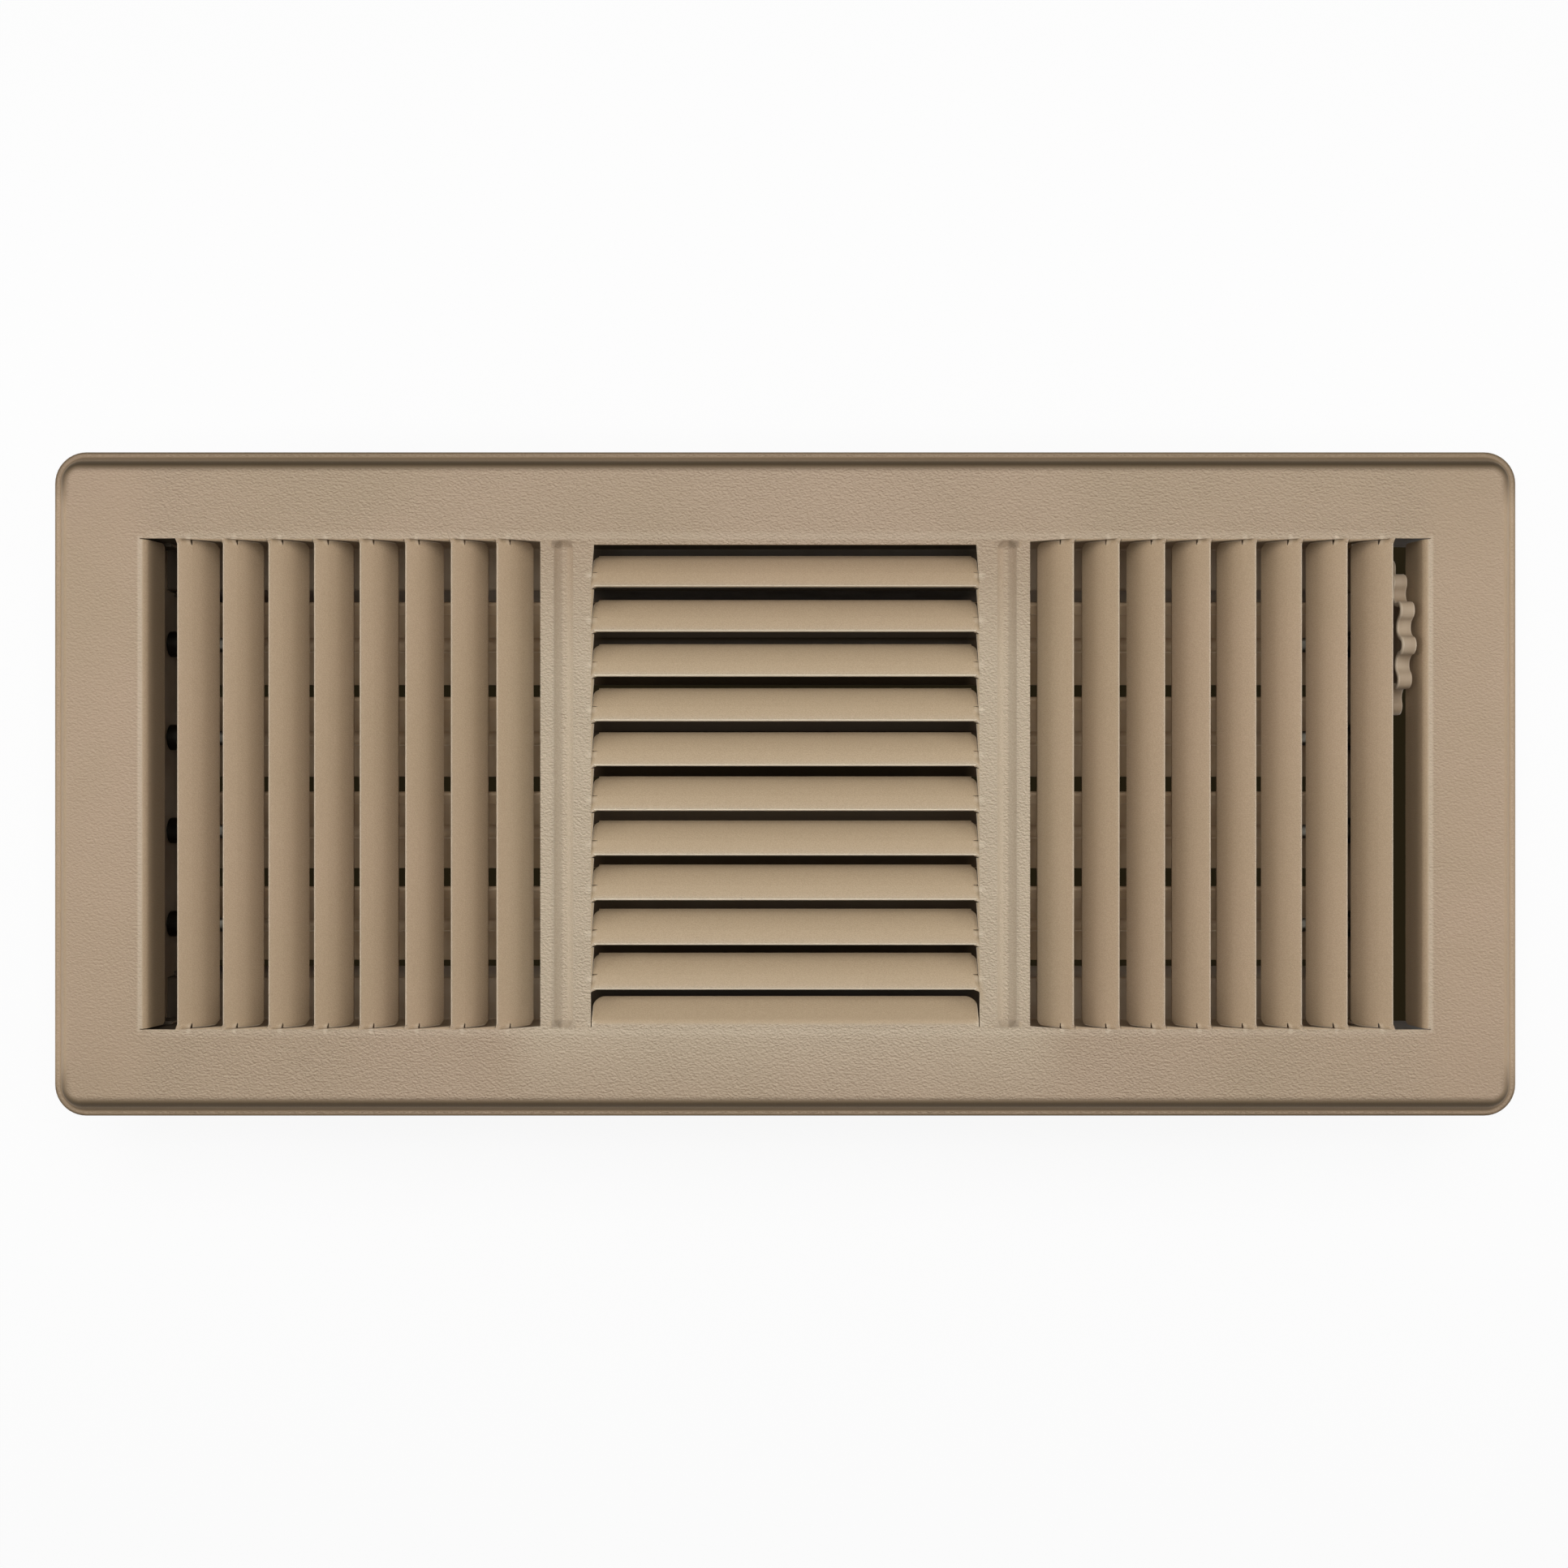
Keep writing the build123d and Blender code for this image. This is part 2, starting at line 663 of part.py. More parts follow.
# Push nut: a pressed cap ring that grips the axle outside the wheel
with BuildPart() as push_nut:
    with BuildSketch(Plane.YZ.offset(wheel_out)):
        with Locations((wheel_y, axis_z)):
            Circle(nut_radius)
    extrude(amount=nut_sheet)
    with BuildSketch(Plane.YZ.offset(wheel_out + nut_sheet)):
        with Locations((wheel_y, axis_z)):
            Circle(nut_boss_radius)
    extrude(amount=nut_boss)
    with BuildSketch(Plane.YZ.offset(wheel_out)):
        with Locations((wheel_y, axis_z)):
            Circle(pin_radius + seat_fit)
    extrude(amount=nut_sheet + nut_boss, mode=Mode.SUBTRACT)
push_nut.part.label = "push_nut"
export_step(push_nut.part, "parts/push_nut.step")
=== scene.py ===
import json
import math

import bmesh
import bpy
from bpy.props import FloatProperty, FloatVectorProperty, PointerProperty
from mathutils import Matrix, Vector


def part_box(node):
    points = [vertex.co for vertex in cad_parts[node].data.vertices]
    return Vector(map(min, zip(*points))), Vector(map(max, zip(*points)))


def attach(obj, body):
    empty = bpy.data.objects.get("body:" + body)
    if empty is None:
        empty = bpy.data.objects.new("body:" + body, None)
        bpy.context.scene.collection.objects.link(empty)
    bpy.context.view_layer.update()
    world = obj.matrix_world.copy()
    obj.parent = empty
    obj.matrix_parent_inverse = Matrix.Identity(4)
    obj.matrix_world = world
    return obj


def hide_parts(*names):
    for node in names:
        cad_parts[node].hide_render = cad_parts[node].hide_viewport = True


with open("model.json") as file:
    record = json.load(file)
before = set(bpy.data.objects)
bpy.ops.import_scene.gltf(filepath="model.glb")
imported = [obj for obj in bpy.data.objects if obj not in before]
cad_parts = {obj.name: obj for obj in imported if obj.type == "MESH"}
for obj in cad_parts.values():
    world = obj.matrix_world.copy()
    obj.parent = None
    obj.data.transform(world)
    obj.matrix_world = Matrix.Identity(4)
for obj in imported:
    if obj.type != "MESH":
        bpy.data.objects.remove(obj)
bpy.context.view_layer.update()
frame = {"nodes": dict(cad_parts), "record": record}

bl_info = {
    "name": "Floor register",
    "version": (1, 0, 0),
    "blender": (4, 5, 0),
    "location": "3D View > Sidebar > Register",
    "description": "Paints and lights a stamped, louvered floor register with its damper and thumbwheel",
    "category": "Object",
}

RECORD = frame["record"]
NODES = frame["nodes"]
NODE_BODY = {node: body for body, nodes in RECORD["behaviour"]["bodies"].items() for node in nodes}
NODE_SLOT = {part["node"]: part["material_slot"] for part in RECORD["subparts"]}
FACE_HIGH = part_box("faceplate")[1]
DUCT_LOW, DUCT_HIGH = (Vector(corner) for corner in RECORD["physics"]["openings"][0]["box_m"])

# Edge finish: what counts as the same point, and as flat, hard, creased, long, thin or level
SAME_POINT = 2e-6
FLAT_ANGLE = math.radians(0.6)
HARD_ANGLE = math.radians(38)
CREASE_ANGLE = math.radians(62)
LONG_EDGE = 0.01
STRIP_WIDTH = 0.001
LEVEL_SHARE = 0.9999
EDGE_ATTRIBUTE = "cut_edge"

# Rows of torn necks along the slot ends, where painted highlights sit: the first place, the step and the slot
# end, in metres
SIDE_MARKS = (0.1131, 0.00865, 0.0466)
CENTRE_MARKS = (-0.0369, 0.00849, 0.0369)
MARK_ROWS = 20
MARK_SIZE = 0.0009
MARK_SQUEEZE = 0.6

# Zones of the face, in metres from its middle: where each one starts and where it is whole
BEAD_INSIDE = (0.0393, 0.0398)
BEAD_OUTSIDE = (0.0446, 0.0441)
BEAD_END = (0.0474, 0.0468)
SIDE_BANK_INSIDE = (0.0495, 0.0515)
SIDE_BANK_OUTSIDE = (0.118, 0.116)
SIDE_BANK_END = (0.0485, 0.0475)
CENTRE_BANK_SIDE = (0.0465, 0.0455)
CENTRE_BANK_END = (0.0395, 0.0385)
# Where the painted pool of light in the middle of the face starts and is whole, and how far it sits off the
# middle
LIT_MIDDLE_LENGTH = (0.056, 0.045)
LIT_MIDDLE_WIDTH = (0.058, 0.026)
LIT_MIDDLE_SHIFT = 0.009
END_BORDER = (0.116, 0.127)
FAR_SIDE = (-0.01, 0.01)
LONG_RIM = (0.051, 0.061)
LIP_SIDE = (0.1165, 0.119)
CORNER_LENGTH = (0.105, 0.14)
CORNER_WIDTH = (0.035, 0.062)
SIDE_VANE_TIPS = (0.037, 0.0465)
CENTRE_VANE_TIPS = (0.028, 0.0367)
SIDE_TEAR_INSIDE = (0.0461, 0.0464)
SIDE_TEAR_OUTSIDE = (0.0469, 0.0467)
CENTRE_TEAR_INSIDE = (0.0364, 0.0367)
CENTRE_TEAR_OUTSIDE = (0.0372, 0.037)
SLOT_BEND_OUTSIDE = (0.123, 0.1225)
SLOT_BEND_INSIDE = (0.1216, 0.1221)
SLOT_BEND_END = (0.0475, 0.0465)
FLARE_OUTSIDE = (0.0484, 0.047)
FLARE_INSIDE = (0.0462, 0.0466)
FLARE_END = (0.122, 0.12)

# The same for the rim, whose corners are round: metres from its outer edge
RIM_CORNER = 0.006
RIM_BAND = (-0.0046, -0.0032)

# Depths below the face, in metres
FOLD_DEPTH = (0.0022, 0.001)
LIP_DEPTH = (0.0003, 0.003)
VANE_DEPTH = (0.001, 0.005)
TEAR_DEPTH = (0.0001, 0.0004)

# Tilts of the sheet, as shares of its normal that point up or inwards
LEVEL_TILT = (0.93, 0.999)
RIM_TILT = (0.99, 0.75)
BEAD_WALL_TILT = (0.02, 0.3)
INNER_TILT = (-0.1, 0.3)

# Pattern of the paints and the plating, in metres
DRIFT_SIZE = 0.045
PATCH_SIZE = 0.019
WRINKLE_STRETCH = (0.66, 1.0, 1.0)
WRINKLE_TURN = (0.0, 0.0, 0.12)
# Step towards the painted light: the wrinkles' difference over it gives painted shade and highlight on their
# flanks
FLANK_LIGHT_STEP = (0.00004, 0.00012, 0.0)
FLANK_LIGHT_RANGE = (-0.26, 0.26)
CLOUD_SIZE = 0.012
PEEL_SIZE = 0.0007
PEEL_HEIGHT = 0.00003
RUBBED_SIZE = 0.004
CRYSTALS_PER_METRE = 900.0
SCRATCH_SIZE = 0.0016
SCRATCH_STRETCH = (1.0, 9.0, 9.0)
SCRATCH_HEIGHT = 0.00002
SPECKLE_SIZE = 0.02
PAINT_GLOSS = {"Specular IOR Level": 0.25}

# Where painted shade on the box and blades starts and is whole, as distances from the middle
MIDDLE_DEEP_SHADE = (0.044, 0.036)
END_DEEP_SHADE = (0.112, 0.118)
# Where painted shade on the zinc at the left end starts and is whole
ZINC_SHADE_END = (-0.1155, -0.117)

# Duct mouth and floor: screen colours of the duct mouth's painted shade, and where the rising light and the
# shadow start and are whole
DUCT_SHADE_GROUND = (78, 66, 46)
DUCT_SHADE_GLOW = (33, 28, 16)
DUCT_LIGHT_START = (DUCT_LOW.x + 0.02, DUCT_LOW.x + 0.05)
SHADOW_REACH = (1.0, 0.4)
WHITE = (1.0, 1.0, 1.0)


def linear(red, green, blue):
    """Scene colour of a paint given by its 0 to 255 screen values."""
    shares = (value / 255 for value in (red, green, blue))
    return tuple(((share + 0.055) / 1.055) ** 2.4 for share in shares)


def blended(first, second, part):
    """Colour part of the way from the first to the second."""
    return tuple((1 - part) * a + part * b for a, b in zip(first, second))


def nodes_of(slot):
    """Names of the nodes with this material slot."""
    return sorted(node for node in NODES if NODE_SLOT[node] == slot)


def colour(title, words, screen):
    """A colour that the user can pick."""
    return FloatVectorProperty(
        name=title, description=words, subtype="COLOR", size=3, min=0, max=1, default=linear(*screen)
    )


def length(title, words, metres):
    """A length that the user can set."""
    return FloatProperty(name=title, description=words, unit="LENGTH", min=0, precision=6, default=metres)


def share(title, words, value):
    """A plain share between nothing and all."""
    return FloatProperty(name=title, description=words, subtype="FACTOR", min=0, max=1, default=value)


def watts(title, words, value):
    """The power of a lamp."""
    return FloatProperty(name=title, description=words, unit="POWER", min=0, default=value)


class RegisterFinish(bpy.types.PropertyGroup):
    """Colours and surface sizes of the register's paint and plating, and of the shade and highlights painted
    on them.
    """

    face_colour: colour("Face", "Tan paint of the stamped face", (178, 154, 127))
    face_warm: colour("Face, warm", "Pinker drift of the face's paint", (184, 158, 133))
    # A painted pool of light that pales the middle of the face
    pale_colour: colour("Face, worn", "Paler paint in the trodden middle", (209, 191, 165))
    vane_colour: colour("Vanes", "Warmer paint on the bent vanes", (180, 154, 119))
    # Painted shade in the rim's fold, on the lips, on the bead walls, low on the vanes and in the corners
    painted_shade_colour: colour("Grime", "Dust in the folds of the sheet", (70, 56, 36))
    # Painted shade on one flank of each wrinkle
    wrinkle_shade_colour: colour("Hollows", "Deeper paint between the wrinkles", (120, 102, 80))
    # Paler sheared edges, partly thin paint and partly painted highlight; also painted highlights on the
    # wrinkles, necks and bends
    edge_and_highlight_colour: colour("Cut edges", "Thin paint on the sheared edges", (242, 228, 204))
    wheel_colour: colour("Wheel", "Paint of the thumbwheel", (160, 139, 115))
    box_colour: colour("Box", "Paint of the damper box", (150, 130, 106))
    blade_colour: colour("Blades", "Paint of the damper blades", (170, 146, 116))
    # Painted shade on inner faces of the box and blades, under the centre bank and at the ends
    deep_shade_colour: colour("Primer", "Dark primer where no spray reached", (52, 42, 29))
    zinc_colour: colour("Zinc", "Plating of the pins and links", (124, 119, 108))
    edge_round: length("Edge round", "Rounding of the sheared edges under the paint", 0.00018)
    wrinkle_size: length("Wrinkle size", "Width of one wrinkle in the face's paint", 0.00037)
    wrinkle_height: length("Wrinkle height", "Height of the wrinkles", 0.00022)
    paint_roughness: share("Paint roughness", "How dull the face's paint is", 0.46)


class RegisterStudio(bpy.types.PropertyGroup):
    """Camera, lamps and floor."""

    camera_height: length("Camera height", "Height of the camera over the face", 0.299)
    camera_offset: length("Camera offset", "How far the camera stands left of the middle", 0.00023)
    frame_width: length("Frame width", "Width of the picture at the face", 0.2971)
    floor_size: length("Floor size", "Half the width of the floor", 3.0)
    floor_grey: share("Floor grey", "How much light the floor sends back", 0.45)
    shadow_share: share("Shadow share", "How much of the shadow the white floor keeps", 0.12)
    # The dark duct mouth is painted shade on the floor, seen only by the camera
    duct_margin: length("Duct margin", "How far the dark duct mouth stays inside the face's ends", 0.0075)
    duct_reach: length("Duct reach", "Half the width of the dark duct mouth", 0.0545)
    duct_fade: length("Duct fade", "How softly the dark of the duct mouth ends", 0.011)
    key_power: watts("Key lamp", "Soft lamp straight above the face", 1.79)
    far_power: watts("Far lamp", "Soft lamp above the far side of the face", 1.65)
    side_power: watts("Side lamps", "Each soft lamp beyond the ends of the face", 0.5)
    rim_power: watts("Rim lamps", "Each low strip beside the end rims", 0.075)
    sky_strength: share("Sky", "Even light from all round", 0.06)
    duct_light: share("Duct light", "Light that rises from the duct into the box", 0.22)


class Wire:
    """A socket of a shader tree that takes part in Python sums."""

    def __init__(self, tree, socket=None):
        self.tree = tree
        self.socket = socket

    def node(self, kind, settings=None, sockets=None, output=0):
        """A new node: its settings are made first, then its sockets are filled or linked."""
        made = self.tree.nodes.new("ShaderNode" + kind)
        for name, value in (settings or {}).items():
            setattr(made, name, value)
        for name, value in (sockets or {}).items():
            if isinstance(value, Wire):
                self.tree.links.new(value.socket, made.inputs[name])
            else:
                made.inputs[name].default_value = value
        return Wire(self.tree, made.outputs[output] if made.outputs else None)

    def maths(self, operation, *values):
        return self.node("Math", {"operation": operation}, dict(enumerate(values)))

    def __add__(self, other):
        return self.maths("ADD", self, other)

    def __radd__(self, other):
        return self.maths("ADD", other, self)

    def __sub__(self, other):
        return self.maths("SUBTRACT", self, other)

    def __rsub__(self, other):
        return self.maths("SUBTRACT", other, self)

    def __mul__(self, other):
        return self.maths("MULTIPLY", self, other)

    def __rmul__(self, other):
        return self.maths("MULTIPLY", other, self)

    def __lt__(self, other):
        return self.maths("LESS_THAN", self, other)

    def __abs__(self):
        return self.maths("ABSOLUTE", self)

    def most(self, other):
        """The larger of two values."""
        return self.maths("MAXIMUM", self, other)

    def least(self, other):
        """The smaller of two values."""
        return self.maths("MINIMUM", self, other)

    def root(self):
        return self.maths("SQRT", self)

    def sign(self):
        return self.maths("SIGN", self)

    def rise(self, low, high):
        """Smooth step from 0 at low to 1 at high."""
        return self.node(
            "MapRange",
            {"interpolation_type": "SMOOTHSTEP"},
            {"Value": self, "From Min": low, "From Max": high},
        )

    def tint(self, without, fully):
        """Mix of two colours by this share. A Mix node's colours are its inputs 6 and 7 and its output 2."""
        colours = {6: without, 7: fully}
        sockets = {index: (*c, 1.0) if isinstance(c, tuple) else c for index, c in colours.items()}
        return self.node("Mix", {"data_type": "RGBA"}, {0: self, **sockets}, output=2)

    def axis(self, name):
        """One coordinate of this vector."""
        return self.node("SeparateXYZ", sockets={0: self}, output=name)

    def stretched(self, scale, turn=(0.0, 0.0, 0.0)):
        """This place with its axes stretched and turned."""
        return self.node("Mapping", sockets={"Vector": self, "Scale": scale, "Rotation": turn})

    def noise(self, size, detail=2.0, roughness=0.5, distortion=0.0):
        """Cloudy noise with lumps of about this size, in metres."""
        values = {"Scale": 1 / size, "Detail": detail, "Roughness": roughness, "Distortion": distortion}
        return self.node("TexNoise", sockets={"Vector": self, **values})

    def bump(self, strength, distance):
        """The surface direction that this height gives."""
        return self.node("Bump", sockets={"Strength": strength, "Distance": distance, "Height": self})

    def ray(self, kind):
        """Whether the light path's last ray is of this kind."""
        return self.node("LightPath", output=f"Is {kind} Ray")


def new_material(name):
    """An empty node material and the start of its tree."""
    material = bpy.data.materials.new(name)
    material.use_nodes = True
    material.node_tree.nodes.clear()
    return material, Wire(material.node_tree)


def finish_surface(start, base, roughness, bump, constants):
    """Ends a material in one surface shader. What is the same all over stays on the shader's own sockets."""
    varying = {"Base Color": base, "Roughness": roughness, "Normal": bump}
    shader = start.node("BsdfPrincipled", sockets={**varying, **constants})
    start.node("OutputMaterial", sockets={"Surface": shader})


def beyond_corner(past_x, past_y):
    """Distance beyond a rectangle, round at its corners, from how far a place is past its sides."""
    outer_x = past_x.most(0.0)
    outer_y = past_y.most(0.0)
    return (outer_x * outer_x + outer_y * outer_y).root()


def neck_highlights(along, across, row):
    """Small spots where a bank's necks tear out of the sheet: painted highlights where the twisted necks
    catch the light.
    """
    first, pitch, slot_end = row
    beside = along.maths("PINGPONG", along - (first - MARK_ROWS * pitch), pitch / 2)
    beyond = (across - slot_end) * MARK_SQUEEZE
    return (beside * beside + beyond * beyond).root().rise(MARK_SIZE, 0.0)


def wrinkles(place, size):
    """Wrinkles in the paint that run along the face."""
    return place.stretched(WRINKLE_STRETCH, WRINKLE_TURN).noise(size, 2.0, 0.5, 0.5)


def face_paint(finish):
    """Wrinkled tan paint: strong wrinkles on the flat face, smoother vanes, thin paint on cut edges, with
    painted shade and painted highlights.
    """
    material, start = new_material("face_paint")
    place = start.node("TexCoord", output="Object")
    x, y, z = (place.axis(name) for name in "XYZ")
    along, across = abs(x), abs(y)
    depth = FACE_HIGH.z - z
    normal = start.node("NewGeometry", output="Normal")
    upright = normal.axis("Z")
    painted_shade_colour, edge_and_highlight_colour = tuple(finish.painted_shade_colour), tuple(finish.edge_and_highlight_colour)

    # Zones of the sheet: the beads, the flat, the banks of vanes and the middle, where a pool of light is
    # painted
    on_bead = along.rise(*BEAD_INSIDE) * along.rise(*BEAD_OUTSIDE) * across.rise(*BEAD_END)
    level = upright.rise(*LEVEL_TILT)
    unbent = level.most(on_bead)
    level = level.most(0.35 * on_bead)
    side_bank = along.rise(*SIDE_BANK_INSIDE) * along.rise(*SIDE_BANK_OUTSIDE) * across.rise(*SIDE_BANK_END)
    centre_bank = across.rise(*CENTRE_BANK_SIDE) * along.rise(*CENTRE_BANK_END)
    middle = along.rise(*LIT_MIDDLE_LENGTH) * abs(y + LIT_MIDDLE_SHIFT).rise(*LIT_MIDDLE_WIDTH)

    # Colour that drifts over the sheet, paler in the middle where a pool of light is painted, and warmer on
    # the vanes
    drift = place.noise(DRIFT_SIZE, 3.0, 0.55, 0.3).rise(0.35, 0.68)
    base = drift.tint(tuple(finish.face_colour), tuple(finish.face_warm))
    base = (middle * 0.9).tint(base, tuple(finish.pale_colour))
    base = ((1.0 - unbent) * (0.45 + 0.2 * middle)).tint(base, tuple(finish.vane_colour))

    # Lengthwise wrinkles on the flat and fine grain on what is bent. On the flat, painted shade darkens one
    # flank of each wrinkle and a painted highlight lightens the other; on what is bent, the grain's tone
    # differs at random
    wrinkle = wrinkles(place, finish.wrinkle_size)
    beside = place.node("VectorMath", {"operation": "ADD"}, {0: place, 1: FLANK_LIGHT_STEP})
    flank_light = wrinkle - wrinkles(beside, finish.wrinkle_size)
    grain = place.noise(finish.wrinkle_size * 0.5, 1.0, 0.5)
    patch = place.noise(PATCH_SIZE, 2.0, 0.6)
    wrinkle_share = level * (0.6 + 0.5 * patch) * (1.2 - 0.6 * along.rise(*END_BORDER))
    height = wrinkle * (0.12 + wrinkle_share) + 0.2 * grain
    shaded_paint = (0.16 + 0.38 * wrinkle_share).tint(base, tuple(finish.wrinkle_shade_colour))
    highlit_paint = (0.05 + 0.15 * wrinkle_share).tint(base, edge_and_highlight_colour)
    painted_relief = level * flank_light.rise(*FLANK_LIGHT_RANGE) + (1.0 - level) * grain.rise(0.3, 0.7)
    base = painted_relief.tint(shaded_paint, highlit_paint)

    # Painted shade in the rim's fold, on the lips, on the walls of the beads that face the middle, low on the
    # vanes and in the corners
    past_x = along - (FACE_HIGH.x - RIM_CORNER)
    past_y = across - (FACE_HIGH.y - RIM_CORNER)
    straight = past_x.most(past_y).least(0.0)
    on_rim = (beyond_corner(past_x, past_y) + straight - RIM_CORNER).rise(*RIM_BAND)
    sloped = upright.rise(*RIM_TILT)
    rim_shade = 0.26 + 0.1 * y.rise(*FAR_SIDE) + 0.24 * sloped + 0.4 * depth.rise(*FOLD_DEPTH)
    rim_shade = rim_shade * on_rim * across.rise(*LONG_RIM)
    on_lip = along.rise(*LIP_SIDE) * depth.rise(*LIP_DEPTH) * (1.0 - on_rim)
    inward = 0.0 - x.sign() * normal.axis("X")
    endward = 0.0 - y.sign() * normal.axis("Y")
    bead_shade = on_bead * (inward.rise(*BEAD_WALL_TILT) + endward.rise(*BEAD_WALL_TILT))
    vane_tips = across.rise(*SIDE_VANE_TIPS) * side_bank + along.rise(*CENTRE_VANE_TIPS) * centre_bank
    vane_shade = (side_bank + centre_bank) * depth.rise(*VANE_DEPTH)
    vane_shade = vane_shade * (0.09 + 0.06 * side_bank + 0.2 * vane_tips)
    corner_shade = along.rise(*CORNER_LENGTH) * across.rise(*CORNER_WIDTH) * (1.0 - on_rim)
    painted_shade = rim_shade + 0.52 * on_lip + 0.26 * bead_shade + vane_shade + 0.08 * corner_shade
    base = painted_shade.tint(base, painted_shade_colour)

    # Sheared edges paler, partly thin paint and partly painted highlight, more so in the painted pool of
    # light in the middle; painted highlights on the torn necks, the vanes' ends, the bends of the slots and
    # the sheet beside the slot ends
    edge = start.node("Attribute", {"attribute_name": EDGE_ATTRIBUTE}, output="Fac")
    neck_glints = neck_highlights(along, across, SIDE_MARKS) * side_bank
    neck_glints = neck_glints + neck_highlights(y, along, CENTRE_MARKS) * centre_bank
    side_ends = across.rise(*SIDE_TEAR_INSIDE) * across.rise(*SIDE_TEAR_OUTSIDE) * side_bank
    centre_ends = along.rise(*CENTRE_TEAR_INSIDE) * along.rise(*CENTRE_TEAR_OUTSIDE) * centre_bank
    vane_ends = (side_ends + centre_ends) * depth.rise(*TEAR_DEPTH)
    slot_bends = along.rise(*SLOT_BEND_OUTSIDE) * along.rise(*SLOT_BEND_INSIDE) * across.rise(*SLOT_BEND_END)
    flared = across.rise(*FLARE_OUTSIDE) * across.rise(*FLARE_INSIDE) * along.rise(*FLARE_END)
    thin_paint_and_highlight = (0.4 + 0.6 * middle) * edge
    thin_paint_and_highlight = thin_paint_and_highlight.most(neck_glints * (0.2 + 0.25 * patch))
    thin_paint_and_highlight = thin_paint_and_highlight.most(0.4 * vane_ends)
    thin_paint_and_highlight = thin_paint_and_highlight.most(0.22 * slot_bends + 0.1 * flared)
    base = thin_paint_and_highlight.tint(base, edge_and_highlight_colour)

    roughness = finish.paint_roughness + 0.12 * (patch - 0.5) + 0.3 * rim_shade
    finish_surface(start, base, roughness, height.bump(1.0, finish.wrinkle_height), PAINT_GLOSS)
    return material


def smooth_paint(finish, name, base_colour, worn_part, roughness, shaded_inside):
    """Thin sprayed paint: faint orange peel, cloudy colour, paler edges, and painted shade on faces that
    point up or inwards under the centre bank and at the ends.
    """
    material, start = new_material(name)
    pale_colour = blended(base_colour, finish.edge_and_highlight_colour, worn_part)
    place = start.node("TexCoord", output="Object")
    cloud = place.noise(CLOUD_SIZE, 3.0, 0.6).rise(0.3, 0.7)
    peel = place.noise(PEEL_SIZE, 2.0, 0.5)
    base = (cloud * 0.35).tint(tuple(base_colour), pale_colour)
    edge = start.node("Attribute", {"attribute_name": EDGE_ATTRIBUTE}, output="Fac")
    base = (edge * 0.5).tint(base, pale_colour)
    # Painted shade on faces that point up or inwards, under the centre bank and at the ends
    if shaded_inside:
        y = place.axis("Y")
        normal = start.node("TexCoord", output="Normal")
        inward = normal.axis("Z") - y.sign() * normal.axis("Y")
        along = abs(place.axis("X"))
        deep_shade = along.rise(*MIDDLE_DEEP_SHADE) + 0.9 * along.rise(*END_DEEP_SHADE)
        base = (deep_shade * inward.rise(*INNER_TILT)).tint(base, tuple(finish.deep_shade_colour))
    finish_surface(start, base, roughness + 0.12 * (cloud - 0.5), peel.bump(0.6, PEEL_HEIGHT), PAINT_GLOSS)
    return material


def zinc_plate(finish):
    """Zinc plating with faint crystals, rubbed patches and painted shade at the left end."""
    material, start = new_material("zinc_steel")
    place = start.node("TexCoord", output="Object")
    cells = place.node("TexVoronoi", sockets={"Vector": place, "Scale": CRYSTALS_PER_METRE}, output="Color")
    crystal = cells.axis("X")
    rubbed = place.noise(RUBBED_SIZE, 3.0, 0.6).rise(0.35, 0.65)
    zinc = tuple(finish.zinc_colour)
    dull, shaded_zinc = (tuple(part * value for value in zinc) for part in (0.62, 0.25))
    base = (0.35 * crystal + 0.45 * rubbed).tint(zinc, dull)
    # Painted shade on the pins at the left end
    base = place.axis("X").rise(*ZINC_SHADE_END).tint(base, shaded_zinc)
    scratch = place.stretched(SCRATCH_STRETCH).noise(SCRATCH_SIZE, 2.0, 0.6)
    roughness = 0.28 + 0.14 * rubbed + 0.06 * crystal
    finish_surface(start, base, roughness, scratch.bump(0.4, SCRATCH_HEIGHT), {"Metallic": 1.0})
    return material


